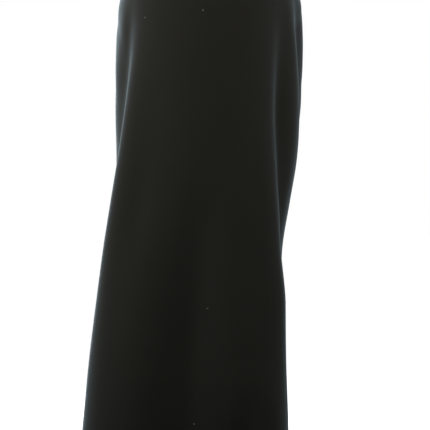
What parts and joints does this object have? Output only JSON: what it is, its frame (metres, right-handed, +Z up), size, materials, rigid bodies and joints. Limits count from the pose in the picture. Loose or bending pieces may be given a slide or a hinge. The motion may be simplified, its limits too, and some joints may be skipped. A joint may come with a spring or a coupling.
{
  "type": "maxi skirt",
  "caption": "Long pull-on skirt in black knit, hollow and open at waist and hem, hanging from the hips in soft folds.",
  "frame": {"origin": "centre of the waist opening, at mid-height of the waistband", "axes": "+Z up the wearer's body, -Y the front of the skirt, +X the wearer's left"},
  "size_m": [0.4142, 0.3399, 1],
  "materials": {
    "body_knit": "heavy black wool knit, matt with a soft nap and a pale sheen where it turns away",
    "band_knit": "the same black knit, folded over elastic"
  },
  "bodies": {
    "root": {"front_panel": "body_knit", "back_panel": "body_knit", "waistband": "band_knit"}
  },
  "joints": []
}
